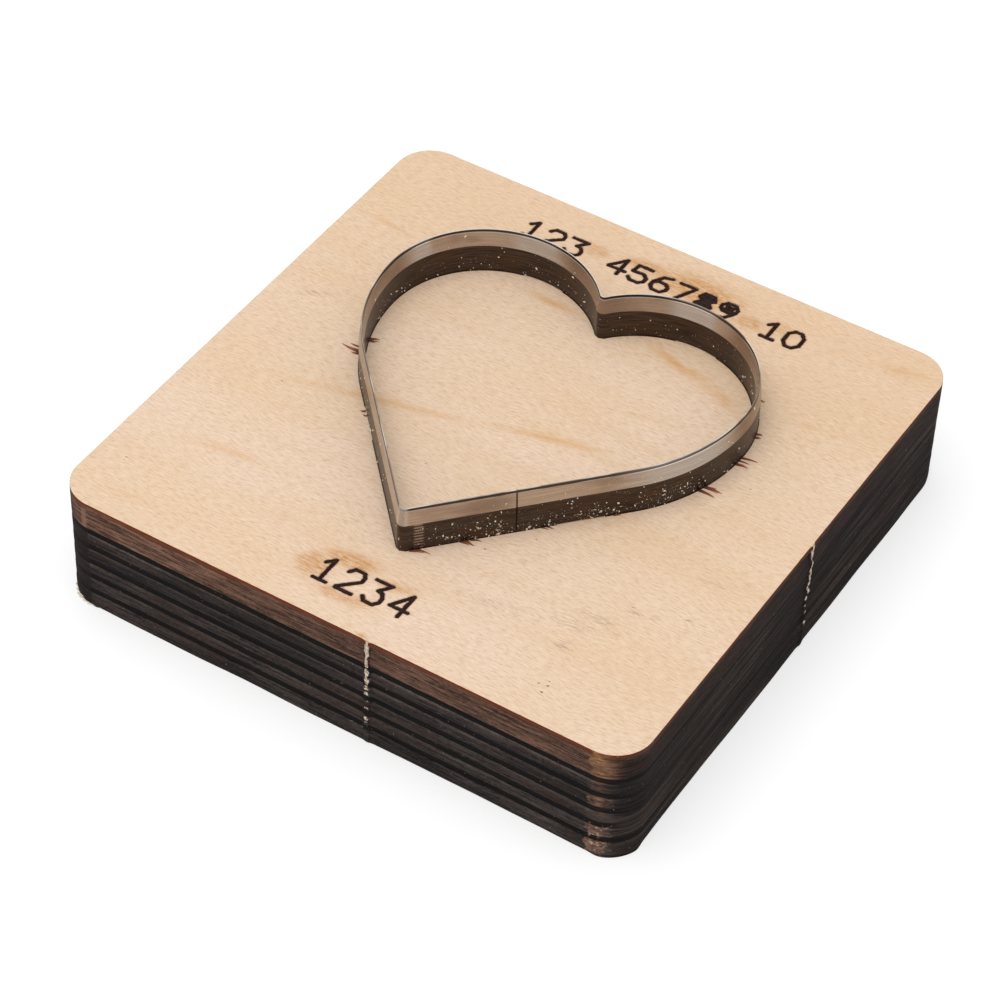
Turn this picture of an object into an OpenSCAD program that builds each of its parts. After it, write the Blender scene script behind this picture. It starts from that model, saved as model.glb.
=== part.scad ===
// Steel rule die: a bent cutting rule driven into the laser-cut kerf of a plywood board.
// Origin at the middle of the board's underside, X along its front edge, Y to its back,
// Z up to the cutting edge. Millimetres.

/* [Board] */
// Width of the board along X
board_w = 80; // [72:0.5:120]
// Depth of the board along Y
board_d = 80; // [72:0.5:120]
// Radius of the board's four corners
board_corner_r = 5; // [3:0.5:10]

/* [Plies] */
// Thickness of the top face ply, grain along X
top_ply_t = 4; // [2:0.1:5]
// Thickness of each core ply, grain along X
core_ply_t = 1.5; // [1:0.1:1.8]
// Thickness of each cross ply, grain along Y
cross_ply_t = 1; // [0.6:0.1:1.4]
// Thickness of the bottom face ply, grain along X
bottom_ply_t = 2.2; // [1.8:0.1:3]
// Depth to which the laser has burnt the cross plies back behind the others
cross_ply_burn = 0.15; // [0.05:0.05:0.3]

/* [Edge wear] */
// Width of the torn stub left by each holding tab
tab_w = 0.9; // [0.5:0.1:2]
// How far a stub stands out from its edge
tab_proud = 0.25; // [0.1:0.05:0.5]
// Place of the front stub along X
front_tab_x = 5; // [-25:0.5:25]
// Place of the right stub along Y
right_tab_y = 2.2; // [-25:0.1:25]
// Height of the chip out of the bottom corner at the front left
chip_h = 1.3; // [0.5:0.1:1.7]
// Depth of that chip at the underside
chip_depth = 0.8; // [0.3:0.1:1.5]

/* [Heart] */
// Width of the heart over its cutting edge
heart_w = 50.6; // [46:0.2:56]
// Height of the heart from the crossing of its straight sides to the top of its lobes
heart_h = 50.7; // [47:0.1:56]
// Shift of the heart from the middle of the board along Y
heart_shift_y = -0.2; // [-3:0.1:3]
// Radius of each lobe
lobe_r = 14.1; // [13:0.1:15.5]
// Radius of the flatter curve below each lobe
side_r = 22.9; // [18:0.1:26]
// Radius of the kerf's inside wall at the point and the cleft
bend_inside_r = 0.1; // [0.1:0.05:1.5]

/* [Cutting rule] */
// Thickness of the steel strip
rule_t = 0.71; // [0.5:0.01:1.05]
// Height of the strip from its back to its cutting edge
rule_h = 23.8; // [23:0.1:30]
// Height of the long bevel on each face
bevel_h = 2.1; // [1:0.1:3]
// Thickness left at the top of the long bevels
bevel_top_t = 0.26; // [0.15:0.01:0.4]
// Height of the honed edge above the long bevels
edge_h = 0.45; // [0.2:0.05:0.8]
// Flat left on the honed edge
edge_flat = 0.03; // [0.02:0.01:0.1]
// Distance up the right side from the heart's point to the butt joint of the strip
joint_along = 14; // [8:0.5:15]
// Gap between the two ends of the strip
joint_gap = 0.06; // [0.03:0.01:0.3]

/* [Kerf and bridges] */
// Clearance between the strip and each wall of its kerf
kerf_clearance = 0.05; // [0.02:0.01:0.15]
// Width of each bridge of uncut board across the kerf
bridge_w = 6; // [3:0.5:8]
// Distance up each straight side from the heart's point to its bridge
side_bridge_along = 22; // [20:0.5:23.5]
// Clearance beside a bridge in the notch of the strip
notch_side_gap = 0.25; // [0.1:0.05:0.6]
// Clearance over a bridge in the notch of the strip
notch_top_gap = 0.1; // [0.05:0.05:0.4]

/* [Hidden] */
$fn = 96;
PLY_PAIRS = 5;

// Plies are counted down from the top face: each pair is a cross ply over a core ply,
// and the bottom face ply takes the place of the last core ply.
pair_t = cross_ply_t + core_ply_t;
board_t = top_ply_t + PLY_PAIRS * cross_ply_t + (PLY_PAIRS - 1) * core_ply_t + bottom_ply_t;
function cross_ply_z(i) = board_t - top_ply_t - (i - 1) * pair_t - cross_ply_t;
function core_ply_z(i) = board_t - top_ply_t - i * pair_t;

kerf_w = rule_t + 2 * kerf_clearance;
bend_r = bend_inside_r + kerf_w / 2;

// The strip's middle line: a bend at the point, two straight sides, two flatter curves,
// two lobes and a bend at the cleft, each tangent to the next.
point_y = heart_shift_y - heart_h / 2;
lobe_x = heart_w / 2 - lobe_r;
lobe_y = heart_shift_y + heart_h / 2 - lobe_r;
side_x = heart_w / 2 - side_r;
side_reach = norm([side_x, lobe_y - point_y]);
side_angle = atan2(lobe_y - point_y, side_x) - asin(side_r / side_reach);
point_bend_y = point_y + bend_r / cos(side_angle);
cleft_bend_y = lobe_y + sqrt((lobe_r + bend_r) ^ 2 - lobe_x ^ 2);
lobe_sweep = atan2(cleft_bend_y - lobe_y, -lobe_x);

// Largest turn from one station of the path to the next: large curves, then tight bends
curve_step = 3.5;
bend_step = 9;

// A station is a place on the middle line and the direction out of the heart there: [x, y, out_x, out_y].
// Out is +1 where an arc bulges out of the heart and -1 where it bulges into it.
function arc_stations(centre, r, from, to, step, out) =
    let (count = ceil(abs(to - from) / step))
    [
        for (i = [0:count])
            let (a = from + (to - from) * i / count)
            [centre.x + r * cos(a), centre.y + r * sin(a), out * cos(a), out * sin(a)]
    ];
function tail(list) = [for (i = [1:len(list) - 1]) list[i]];
function reversed(list) = [for (i = [len(list) - 1:-1:0]) list[i]];
function mirrored(path) = [for (s = path) [-s[0], s[1], -s[2], s[3]]];

// Right half of the path, from the middle of the point to the middle of the cleft
point_half = arc_stations([0, point_bend_y], bend_r, -90, side_angle - 90, bend_step, 1);
curved_half = [
    each arc_stations([side_x, lobe_y], side_r, side_angle - 90, 0, curve_step, 1),
    each tail(arc_stations([lobe_x, lobe_y], lobe_r, 0, lobe_sweep, curve_step, 1)),
    each tail(arc_stations([0, cleft_bend_y], bend_r, lobe_sweep - 180, -90, bend_step, -1))
];
closed_path = [
    each point_half,
    each curved_half,
    each tail(reversed(mirrored(curved_half))),
    each reversed(mirrored(tail(point_half)))
];

// Station on the right straight side, at a distance along it from the crossing of the sides
function side_station(along) = [
    along * cos(side_angle),
    point_y + along * sin(side_angle),
    sin(side_angle),
    -cos(side_angle)
];
// The strip starts and ends at its butt joint
strip_path = [
    side_station(joint_along + joint_gap / 2),
    each curved_half,
    each tail(reversed(mirrored(curved_half))),
    each reversed(mirrored(point_half)),
    each tail(point_half),
    side_station(joint_along - joint_gap / 2)
];

notch_h = board_t + notch_top_gap;
through = 1;

// Colours of the pieces
face_wood = [0.88, 0.76, 0.62];
charred_core = [0.24, 0.19, 0.17];
charred_cross = [0.13, 0.11, 0.10];
rule_steel = [0.42, 0.38, 0.35];

// Filled outline at a distance outside the strip's middle line
module heart_outline(distance) {
    polygon([for (s = closed_path) [s[0] + distance * s[2], s[1] + distance * s[3]]]);
}

// Rectangles across the strip at its four bridges
module bridge_plan(w) {
    reach = 4 * kerf_w;
    for (hand = [0, 1])
        mirror([hand, 0, 0]) {
            translate([0, point_y])
                rotate(side_angle)
                    translate([side_bridge_along, 0])
                        square([w, reach], center = true);
            translate([lobe_x, lobe_y + lobe_r])
                square([w, reach], center = true);
        }
}

module kerf_plan() {
    difference() {
        heart_outline(kerf_w / 2);
        heart_outline(-kerf_w / 2);
        bridge_plan(bridge_w);
    }
}

module board_outline(inset) {
    w = board_w - 2 * inset;
    d = board_d - 2 * inset;
    r = board_corner_r - inset;
    square([w - 2 * r, d], center = true);
    square([w, d - 2 * r], center = true);
    for (x = [-1, 1], y = [-1, 1])
        translate([x * (w / 2 - r), y * (d / 2 - r)])
            circle(r);
}

// Torn stubs of the tabs that held the board in its sheet while it was cut
module tab_stubs() {
    root = board_corner_r;
    translate([front_tab_x - tab_w / 2, -board_d / 2 - tab_proud])
        square([tab_w, root]);
    translate([board_w / 2 + tab_proud - root, right_tab_y - tab_w / 2])
        square([root, tab_w]);
}

module ply(z, t, inset) {
    translate([0, 0, z])
        linear_extrude(t)
            difference() {
                union() {
                    board_outline(inset);
                    tab_stubs();
                }
                kerf_plan();
            }
}

// Slanted break across the bottom corner at the front left
module corner_chip() {
    slant = atan2(chip_depth, chip_h);
    size = 4 * board_corner_r;
    translate([board_corner_r - board_w / 2, board_corner_r - board_d / 2, 0])
        rotate(-135)
            translate([board_corner_r - chip_depth, 0, 0])
                rotate([0, slant, 0])
                    translate([0, -size / 2, -size])
                        cube([size, size, 2 * size]);
}

module top_face_ply() {
    color(face_wood)
        ply(board_t - top_ply_t, top_ply_t, 0);
}

module cross_ply(i) {
    color(charred_cross)
        ply(cross_ply_z(i), cross_ply_t, cross_ply_burn);
}

module core_ply(i) {
    color(charred_core)
        ply(core_ply_z(i), core_ply_t, 0);
}

module bottom_face_ply() {
    color(charred_core)
        difference() {
            ply(0, bottom_ply_t, 0);
            corner_chip();
        }
}

// Section of the strip, [across, height]: parallel faces, a long bevel on each and a honed edge on top
rule_half_section = [
    [rule_t / 2, 0],
    [rule_t / 2, rule_h - edge_h - bevel_h],
    [bevel_top_t / 2, rule_h - edge_h],
    [edge_flat / 2, rule_h]
];
rule_section = [
    each rule_half_section,
    for (p = reversed(rule_half_section)) [-p.x, p.y]
];

// The section carried along the strip's path, with a flat end at each side of the joint
module bent_strip() {
    sides = len(rule_section);
    stations = len(strip_path);
    points = [
        for (s = strip_path, p = rule_section)
            [s[0] + p.x * s[2], s[1] + p.x * s[3], p.y]
    ];
    walls = [
        for (i = [0:stations - 2], k = [0:sides - 1])
            let (next = (k + 1) % sides)
            [i * sides + k, i * sides + next, (i + 1) * sides + next, (i + 1) * sides + k]
    ];
    start = [for (k = [sides - 1:-1:0]) k];
    end = [for (k = [0:sides - 1]) (stations - 1) * sides + k];
    polyhedron(points, [each walls, start, end]);
}

module cutting_rule() {
    color(rule_steel)
        difference() {
            bent_strip();
            translate([0, 0, -through])
                linear_extrude(notch_h + through)
                    bridge_plan(bridge_w + 2 * notch_side_gap);
        }
}

top_face_ply();
for (i = [1:PLY_PAIRS])
    cross_ply(i);
for (i = [1:PLY_PAIRS - 1])
    core_ply(i);
bottom_face_ply();
cutting_rule();
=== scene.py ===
import math

import bpy
import numpy as np
from mathutils import Matrix, Vector
from mathutils.geometry import delaunay_2d_cdt


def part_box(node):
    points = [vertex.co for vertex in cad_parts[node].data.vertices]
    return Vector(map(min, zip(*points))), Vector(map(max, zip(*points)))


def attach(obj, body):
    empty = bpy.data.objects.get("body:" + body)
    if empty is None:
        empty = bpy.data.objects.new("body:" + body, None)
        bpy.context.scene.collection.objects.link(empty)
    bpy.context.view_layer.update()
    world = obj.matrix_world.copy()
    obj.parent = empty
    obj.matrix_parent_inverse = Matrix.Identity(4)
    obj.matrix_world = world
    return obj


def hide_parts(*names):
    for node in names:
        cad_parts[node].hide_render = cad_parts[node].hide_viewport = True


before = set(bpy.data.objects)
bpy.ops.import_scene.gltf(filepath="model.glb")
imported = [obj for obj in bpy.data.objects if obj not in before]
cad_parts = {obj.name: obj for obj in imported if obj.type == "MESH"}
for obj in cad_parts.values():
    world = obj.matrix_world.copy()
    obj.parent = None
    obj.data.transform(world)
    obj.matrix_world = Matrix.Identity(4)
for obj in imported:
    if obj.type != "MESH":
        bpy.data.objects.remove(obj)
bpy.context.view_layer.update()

# The board's inner plies: thin birch veneers glued crosswise and cut through by a laser.
# The edges are burnt black. Grain along the edge survives as ridges, and the end grain of the
# cross plies is burnt back behind them. Two torn stubs are left of the tabs that held the board.
mm = 0.001
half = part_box("core_ply_1")[1].y
corner_r = 5 * mm
edge_step = 0.3 * mm
stub_step = 0.06 * mm
stub_reach = 1.3 * mm
stub_w = 0.9 * mm
stub_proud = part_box("core_ply_1")[1].x - half
front_stub_x = 5 * mm
right_stub_y = 2.2 * mm
board_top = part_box("top_face_ply")[1].z
heart_w = 50.6 * mm
heart_h = 50.7 * mm
heart_shift_y = -0.2 * mm
lobe_r = 14.1 * mm
side_r = 22.9 * mm
kerf_w = 0.81 * mm
bend_r = 0.1 * mm + kerf_w / 2
bridge_w = 6 * mm
side_bridge_along = 22 * mm
kerf_step = 0.4 * mm
scorch_ring = 0.09 * mm
cross_plies = 5
ply_pair_t = 2.5 * mm
far_from_stubs = 1.0
# Largest turns from one station to the next, in degrees: curves, tight bends and the board's corners
curve_step = 1
bend_step = 4
corner_step = 3.2


def arc(centre, r, start, end, step, out):
    """Stations on an arc, [x, y, out_x, out_y] each, with angles in degrees.
    Out is 1 where the arc bulges outwards and -1 where it bulges inwards."""
    count = max(2, math.ceil(abs(end - start) / step) + 1)
    a = np.radians(np.linspace(start, end, count))
    c, s = np.cos(a), np.sin(a)
    return np.c_[centre[0] + r * c, centre[1] + r * s, out * c, out * s]


def heart_stations():
    """The rule's middle line as a closed path, from the point up the right side and back down the left."""
    point_y = heart_shift_y - heart_h / 2
    lobe = (heart_w / 2 - lobe_r, heart_shift_y + heart_h / 2 - lobe_r)
    side = (heart_w / 2 - side_r, lobe[1])
    reach = math.hypot(side[0], side[1] - point_y)
    slope = math.degrees(math.atan2(side[1] - point_y, side[0]) - math.asin(side_r / reach))
    point = (0, point_y + bend_r / math.cos(math.radians(slope)))
    cleft = (0, lobe[1] + math.sqrt((lobe_r + bend_r) ** 2 - lobe[0] ** 2))
    sweep = math.degrees(math.atan2(cleft[1] - lobe[1], -lobe[0]))
    right = np.concatenate([
        arc(point, bend_r, -90, slope - 90, bend_step, 1),
        arc(side, side_r, slope - 90, 0, curve_step, 1),
        arc(lobe, lobe_r, 0, sweep, curve_step, 1),
        arc(cleft, bend_r, sweep - 180, -90, bend_step, -1),
    ])
    left = right[::-1] * [-1, 1, -1, 1]
    path = np.concatenate([right, left])
    moved = np.hypot(*np.diff(path[:, :2], axis=0).T) > 1e-7
    path = path[np.r_[True, moved]]
    return path[:-1], math.radians(slope), point_y, lobe


heart_path, side_slope, heart_point_y, lobe_centre = heart_stations()
heart_loop = np.concatenate([heart_path, heart_path[:1]])
heart_along = np.r_[0, np.cumsum(np.hypot(*np.diff(heart_loop[:, :2], axis=0).T))]
heart_length = heart_along[-1]


def heart_at(along):
    """Stations of the rule's middle line at these distances from the heart's point, to the right."""
    wrapped = np.mod(along, heart_length)
    found = np.c_[tuple(np.interp(wrapped, heart_along, column) for column in heart_loop.T)]
    found[:, 2:] /= np.hypot(found[:, 2], found[:, 3])[:, None]
    return found


def along_of(x, y):
    """Distance along the rule of the point on it nearest to a place on the board."""
    along = np.linspace(0, heart_length, 20000)
    found = heart_at(along)
    return along[np.argmin(np.hypot(found[:, 0] - x, found[:, 1] - y))]


side_bridge = along_of(
    side_bridge_along * math.cos(side_slope),
    heart_point_y + side_bridge_along * math.sin(side_slope),
)
lobe_bridge = along_of(lobe_centre[0], lobe_centre[1] + lobe_r)
bridges = [side_bridge, lobe_bridge, heart_length - lobe_bridge, heart_length - side_bridge]


def kerf_loops(widen=0.0):
    """Outlines of the four stretches of kerf between the bridges, each widened by a margin."""
    loops = []
    for start, end in zip(bridges, bridges[1:] + [bridges[0] + heart_length]):
        low, high = start + bridge_w / 2, end - bridge_w / 2
        count = math.ceil((high - low) / kerf_step)
        path = heart_at(np.linspace(low - widen, high + widen, count))
        reach = (kerf_w / 2 + widen) * path[:, 2:]
        loops.append(np.concatenate([path[:, :2] + reach, (path[:, :2] - reach)[::-1]]))
    return loops


def board_stations():
    """Stations round the board's edge: places, outward directions and distance from a stub's middle."""
    straight = half - corner_r
    places, outs, stubs = [], [], []
    for side in range(4):
        t = np.arange(-straight, straight, edge_step)
        stub = {0: front_stub_x, 1: right_stub_y}.get(side, far_from_stubs)
        if stub < half:
            fine = np.arange(stub - stub_reach, stub + stub_reach, stub_step)
            t = np.sort(np.concatenate([t[abs(t - stub) > stub_reach], fine]))
        flat = np.c_[t, np.full_like(t, -half), np.zeros_like(t), -np.ones_like(t)]
        bend = arc((straight, -straight), corner_r, -90, 0, corner_step, 1)[:-1]
        run = np.concatenate([flat, bend])
        c, s = [(1, 0), (0, 1), (-1, 0), (0, -1)][side]
        turn = np.array([[c, s], [-s, c]])
        places.append(run[:, :2] @ turn)
        outs.append(run[:, 2:] @ turn)
        stubs.append(np.r_[t - stub, np.full(len(bend), far_from_stubs)])
    return np.concatenate(places), np.concatenate(outs), np.concatenate(stubs)


edge_places, edge_outs, edge_stubs = board_stations()


def node(tree, kind, inputs=(), **settings):
    """A new node in a tree, with its settings, and its inputs set or linked."""
    made = tree.nodes.new(kind)
    for name, value in settings.items():
        setattr(made, name, value)
    for key, value in dict(inputs).items():
        if isinstance(value, bpy.types.NodeSocket):
            tree.links.new(value, made.inputs[key])
        else:
            made.inputs[key].default_value = value
    return made


def calc(tree, operation, *values, clamp=False):
    return node(tree, "ShaderNodeMath", enumerate(values), operation=operation, use_clamp=clamp).outputs[0]


def product(tree, first, *others, clamp=False):
    """Several values multiplied together."""
    for other in others:
        first = calc(tree, "MULTIPLY", first, other, clamp=clamp)
    return first


def strongest(tree, values):
    """The largest of several values, and at least 0."""
    largest = 0.0
    for value in values:
        largest = calc(tree, "MAXIMUM", largest, value)
    return largest


def between(tree, value, start, full, fading, end, most=1.0):
    """A value's stretch: rises from start to full, and falls from fading to end."""
    return product(tree, span(tree, value, start, full, 0.0, most), span(tree, value, fading, end, 1.0, 0.0))


def added(tree, vector, other):
    return node(tree, "ShaderNodeVectorMath", {0: vector, 1: other}, operation="ADD").outputs[0]


def scaled(tree, vector, factor):
    return node(tree, "ShaderNodeVectorMath", {0: vector, 3: factor}, operation="SCALE").outputs[0]


def span(tree, value, low, high, to_low=0.0, to_high=1.0):
    """A value taken smoothly from one range to another."""
    limits = {0: value, 1: low, 2: high, 3: to_low, 4: to_high}
    return node(tree, "ShaderNodeMapRange", limits, interpolation_type="SMOOTHSTEP").outputs[0]


def stretched_noise(tree, coords, per_metre, detail=2.0, roughness=0.5, distortion=0.0, seed=0.0):
    """Noise whose grain differs along each axis, given as features per metre."""
    grain = node(tree, "ShaderNodeVectorMath", {0: coords, 1: per_metre}, operation="MULTIPLY").outputs[0]
    settings = {"Vector": grain, "W": seed, "Scale": 1.0, "Detail": detail,
                "Roughness": roughness, "Distortion": distortion}
    return node(tree, "ShaderNodeTexNoise", settings, noise_dimensions="4D").outputs[0]


def new_tree(name, **inputs):
    """An empty tree of geometry nodes with inputs of these kinds, and what it is given through them."""
    tree = bpy.data.node_groups.new(name, "GeometryNodeTree")
    tree.interface.new_socket("geometry", in_out="INPUT", socket_type="NodeSocketGeometry")
    for label, kind in inputs.items():
        tree.interface.new_socket(label, in_out="INPUT", socket_type="NodeSocket" + kind)
    tree.interface.new_socket("geometry", in_out="OUTPUT", socket_type="NodeSocketGeometry")
    return tree, node(tree, "NodeGroupInput").outputs


def ended(tree, geometry):
    """A tree of geometry nodes, complete with what it hands out."""
    node(tree, "NodeGroupOutput", {0: geometry})
    return tree


def kept_value(tree, name, kind="FLOAT"):
    """What the points of a mesh keep under a name, for a tree of geometry nodes."""
    return node(tree, "GeometryNodeInputNamedAttribute", {"Name": name}, data_type=kind).outputs[0]


def keeping(tree, geometry, name, value):
    """The geometry with a value kept under a name at each point."""
    settings = {"Geometry": geometry, "Name": name, "Value": value}
    kept = node(tree, "GeometryNodeStoreNamedAttribute", settings, data_type="FLOAT", domain="POINT")
    return kept.outputs[0]


def shifted(tree, geometry, offset):
    return node(tree, "GeometryNodeSetPosition", {"Geometry": geometry, "Offset": offset}).outputs[0]


def shaped(blank, tree, material, **settings):
    """The mesh that a tree of geometry nodes makes of a blank, as a plain mesh with its material."""
    modifier = blank.modifiers.new("shape", "NODES")
    modifier.node_group = tree
    for label, value in settings.items():
        modifier[tree.interface.items_tree[label].identifier] = value
    graph = bpy.context.evaluated_depsgraph_get()
    mesh = bpy.data.meshes.new_from_object(blank.evaluated_get(graph))
    blank.modifiers.clear()
    blank.data = mesh
    mesh.materials.clear()
    mesh.materials.append(material)
    return mesh


def mesh_object(name, points, edges=(), faces=()):
    mesh = bpy.data.meshes.new(name)
    mesh.from_pydata([tuple(p) for p in points], [tuple(e) for e in edges], [tuple(f) for f in faces])
    made = bpy.data.objects.new(name, mesh)
    bpy.context.scene.collection.objects.link(made)
    return made


def store(mesh, name, values, kind="FLOAT"):
    """Keeps one value for each point of a mesh, as an attribute."""
    attribute = mesh.attributes.new(name, kind, "POINT")
    field = "vector" if kind == "FLOAT_VECTOR" else "value"
    attribute.data.foreach_set(field, np.asarray(values, np.float32).ravel())


def inside(places, loop):
    """Which places lie inside a closed loop."""
    x, y = places[:, :1], places[:, 1:]
    (x0, y0), (x1, y1) = loop.T, np.roll(loop, -1, axis=0).T
    rise = np.where(y1 == y0, 1.0, y1 - y0)
    crossed = ((y0 > y) != (y1 > y)) & (x < (x1 - x0) * (y - y0) / rise + x0)
    return crossed.sum(axis=1) % 2 == 1


def filled(loops):
    """Triangles that fill the first loop and leave the others open, as indices into all loops' points."""
    points = np.concatenate(loops) / mm
    edges, first = [], 0
    for loop in loops:
        ring = np.arange(first, first + len(loop))
        edges += list(zip(ring.tolist(), np.roll(ring, -1).tolist()))
        first += len(loop)
    result = delaunay_2d_cdt([Vector(p) for p in points], edges, [], 1, 1e-7)
    origin = [found[0] for found in result[3]]
    faces = np.array([[origin[i] for i in face] for face in result[2]])
    middles = points[faces].mean(axis=1) * mm
    kept = np.all([~inside(middles, loop) for loop in loops[1:]], axis=0)
    return faces[kept].tolist()


def ply_blank(name, rows, inset, raw, marks=()):
    """A closed ply with its kerf, its edge in rows from bottom to top, and how each edge point is worked.
    Inset is how far each edge point lies inside the outline and raw how bare its wood is, both row by row.
    Marks are grids of points let into the top face."""
    low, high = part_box(name)
    count = len(edge_places)
    heights = low.z + (high.z - low.z) * rows
    points = [np.c_[edge_places - edge_outs * depth[:, None], np.full(count, z)]
              for depth, z in zip(inset, heights)]
    faces = []
    for row in range(len(rows) - 1):
        base = row * count
        for j in range(count):
            k = (j + 1) % count
            faces.append([base + j, base + k, base + count + k, base + count + j])
    scorch = [np.zeros(count * len(rows))]
    total = count * len(rows)
    slots = kerf_loops()
    rings = kerf_loops(scorch_ring) if marks else slots
    caps = {}
    for z, level in ((low.z, "bottom"), (high.z, "top")):
        caps[level] = []
        for loop in slots:
            caps[level].append(np.arange(total, total + len(loop)))
            points.append(np.c_[loop, np.full(len(loop), z)])
            scorch.append(np.ones(len(loop)))
            total += len(loop)
    for under, over in zip(caps["bottom"], caps["top"]):
        for j in range(len(under)):
            k = (j + 1) % len(under)
            faces.append([under[k], under[j], over[j], over[k]])
    top_rims = caps["top"]
    if marks:
        top_rims = []
        for inner, ring in zip(caps["top"], rings):
            band = np.arange(total, total + len(inner))
            points.append(np.c_[ring, np.full(len(inner), high.z)])
            scorch.append(np.zeros(len(inner)))
            total += len(inner)
            for j in range(len(inner)):
                k = (j + 1) % len(inner)
                faces.append([inner[j], band[j], band[k], inner[k]])
            top_rims.append(band)
    burn = [np.zeros(total)]
    for grid, grid_faces, rim, depth in marks:
        faces += (np.array(grid_faces) + total).tolist()
        points.append(grid)
        burn.append(depth)
        scorch.append(np.zeros(len(grid)))
        top_rims = top_rims + [rim + total]
        total += len(grid)
    place = np.concatenate(points)
    edge_rim = np.arange(count)
    top_edge = edge_rim + count * (len(rows) - 1)
    for rims, outer, flip in ((caps["bottom"], edge_rim, True), (top_rims, top_edge, False)):
        loops = [outer] + list(rims)
        index = np.concatenate(loops)
        for face in filled([place[loop, :2] for loop in loops]):
            corner = [int(index[i]) for i in face]
            (ax, ay), (bx, by), (cx, cy) = place[corner[:3], :2]
            upward = (bx - ax) * (cy - ay) - (by - ay) * (cx - ax) > 0
            faces.append(corner[::-1] if upward == flip else corner)
    blank = mesh_object(name + "_looks", place, faces=faces)
    wall = count * len(rows)
    out = np.zeros((total, 3))
    out[:wall, :2] = np.tile(edge_outs, (len(rows), 1))
    bare = np.zeros(total)
    bare[:wall] = np.concatenate(raw)
    store(blank.data, "out", out, "FLOAT_VECTOR")
    store(blank.data, "raw", bare)
    store(blank.data, "scorch", np.concatenate(scorch))
    store(blank.data, "burn", np.concatenate(burn))
    return blank


def charred_edge_tree():
    """Works streaks along the grain and slow waves into a ply's edge, inwards from its outline."""
    tree, given = new_tree("charred_edge", streak="Float", wave="Float", seed="Float")
    place = node(tree, "GeometryNodeInputPosition").outputs[0]
    streaks = stretched_noise(tree, place, (260, 260, 4200), 3, 0.6, seed=given["seed"])
    waves = stretched_noise(tree, place, (110, 110, 500), 2, seed=given["seed"])
    cut = calc(tree, "ADD", product(tree, streaks, given["streak"]), product(tree, waves, given["wave"]))
    inward = scaled(tree, kept_value(tree, "out", "FLOAT_VECTOR"), product(tree, cut, -1.0))
    return ended(tree, shifted(tree, given["geometry"], inward))


edge_tree = charred_edge_tree()


def smoothstep(low, high, value):
    t = np.clip((value - low) / (high - low), 0, 1)
    return t * t * (3 - 2 * t)


def wobble(seed, value, per_metre):
    """A slow curve of random heights from -1 to 1, the same for the same seed."""
    heights = np.random.default_rng(seed).uniform(-1, 1, 4096)
    place = np.asarray(value) * per_metre + 1000.0
    left = np.floor(place).astype(int)
    t = place - left
    t = t * t * (3 - 2 * t)
    return heights[left % 4096] * (1 - t) + heights[(left + 1) % 4096] * t


def torn_stub(z, seed):
    """How far a stub stands out at a height, and how bare its wood is, for each station of the edge.
    The break is narrow and bare near the top, and charred with a few bare fibres lower down."""
    right = edge_outs[:, 0] > 0.5
    ragged = stub_w * 0.25 * (1 + 0.5 * wobble(seed, z, 7000))
    middle = np.where(right, 0.30 * mm * wobble(seed + 1, z, 1900), 0.09 * mm * wobble(seed + 1, z, 3600))
    spread = abs(edge_stubs - middle)
    stands = stub_proud * (0.62 + 0.35 * wobble(seed + 2, z, 5200))
    proud = stands * (1 - smoothstep(ragged * 1.3, ragged * 1.3 + 0.2 * mm, spread))
    depth = board_top - z
    bare = 1 - smoothstep(6.2 * mm, 7.6 * mm, depth + 1.0 * mm * wobble(seed + 3, z, 900))
    broken = np.where(right, smoothstep(-0.9, -0.5, wobble(seed + 5, z, 3000)),
                      smoothstep(-0.9, -0.7, wobble(seed + 6, z, 2800)))
    fibres = smoothstep(0.35, 0.5, wobble(seed + 4, z, 3600)) * (1 - smoothstep(12 * mm, 16 * mm, depth))
    on_break = 1 - smoothstep(ragged * 0.7, ragged + 0.06 * mm, spread)
    return proud, np.maximum(bare * broken, 0.75 * fibres) * on_break


def ply_edge(name, rows, recess, side_recess, shoulder, undercut):
    """Inset and bareness of a ply's edge, row by row: round on top, hollow below, torn at the stubs.
    The grain turns between front and side, and so does how far the edge is burnt back."""
    low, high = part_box(name)
    side = smoothstep(0.3, 0.9, abs(edge_outs[:, 0]))
    inset, raw = [], []
    for rise in rows:
        z = low.z + (high.z - low.z) * rise
        rounded = shoulder * smoothstep(0.78, 1.0, rise) ** 1.5 + undercut * (1 - rise) ** 1.4
        depth = recess + (side_recess - recess) * side + rounded * (1 - 0.6 * side)
        proud, bare = torn_stub(z, 40)
        near = 1 - smoothstep(0.5 * mm, 0.75 * mm, abs(edge_stubs))
        inset.append(depth * (1 - near) - proud)
        raw.append(bare)
    return inset, raw


def srgb(red, green, blue):
    """A colour as a photograph gives it, 0 to 255, for a shader."""
    parts = np.array([red, green, blue]) / 255
    linear = np.where(parts <= 0.04045, parts / 12.92, ((parts + 0.055) / 1.055) ** 2.4)
    return (*linear.tolist(), 1.0)


def blend(tree, factor, under, over):
    return node(tree, "ShaderNodeMix", {0: factor, 6: under, 7: over}, data_type="RGBA").outputs[2]


def layered(tree, colour, *layers):
    """A colour with others laid over it in turn, each where a value passes through a range."""
    for value, limits, over in layers:
        colour = blend(tree, span(tree, value, *limits), colour, over)
    return colour


def new_finish(name):
    """An empty material: its tree, its shader, object coordinates and their parts."""
    material = bpy.data.materials.new(name)
    material.use_nodes = True
    tree = material.node_tree
    shader = tree.nodes["Principled BSDF"]
    coords = node(tree, "ShaderNodeTexCoord").outputs["Object"]
    parts = node(tree, "ShaderNodeSeparateXYZ", {0: coords}).outputs
    return material, tree, shader, coords, parts


def attribute(tree, name):
    return node(tree, "ShaderNodeAttribute", attribute_name=name).outputs["Fac"]


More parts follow.
